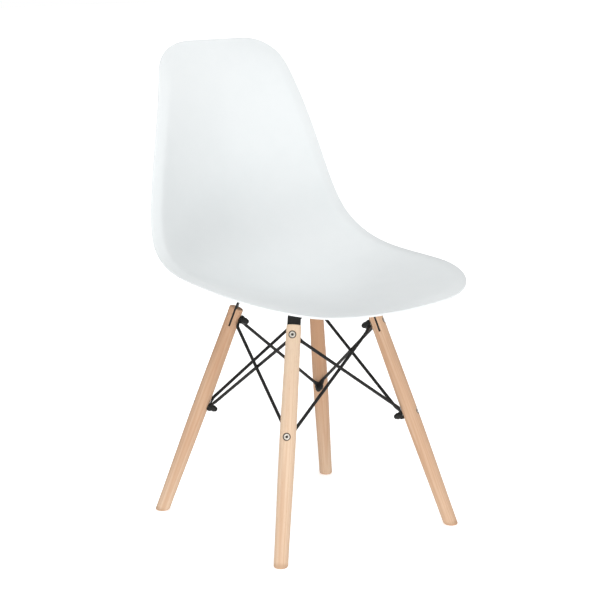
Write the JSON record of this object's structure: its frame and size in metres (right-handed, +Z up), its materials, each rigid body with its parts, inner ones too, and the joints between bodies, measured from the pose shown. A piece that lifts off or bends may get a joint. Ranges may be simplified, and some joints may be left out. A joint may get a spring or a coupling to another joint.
{
  "type": "dining chair",
  "caption": "Dining chair: one-piece white moulded bucket shell on splayed turned beech legs braced by crossed black steel wires.",
  "frame": {"origin": "on the floor under the middle of the chair's bounding box", "axes": "+Z up, -Y toward the front of the seat, +X to the left of a sitter"},
  "size_m": [0.4754, 0.5012, 0.8193],
  "materials": {
    "white_polypropylene": "satin moulded polypropylene",
    "beech": "clear matt lacquer on beech",
    "black_steel": "semi-matt black powder coat on steel",
    "nickel_bolt": "bright nickel-plated steel",
    "brass_insert": "plain turned brass",
    "black_rubber": "moulded black rubber"
  },
  "bodies": {
    "root": {"seat_shell": "white_polypropylene", "shell_insert_nuts": "brass_insert", "mount_pads": "black_rubber", "frame_washers": "black_steel", "frame_screws": "black_steel", "frame_strap_upper": "black_steel", "frame_strap_lower": "black_steel", "leg_front_left": "beech", "leg_front_right": "beech", "leg_rear_left": "beech", "leg_rear_right": "beech", "leg_bolts_upper": "nickel_bolt", "leg_bolts_lower": "nickel_bolt", "dome_nuts_upper": "black_steel", "dome_nuts_lower": "black_steel", "strut_front_outer": "black_steel", "strut_front_inner": "black_steel", "strut_right_outer": "black_steel", "strut_right_inner": "black_steel", "strut_rear_outer": "black_steel", "strut_rear_inner": "black_steel", "strut_left_outer": "black_steel", "strut_left_inner": "black_steel"}
  },
  "joints": []
}
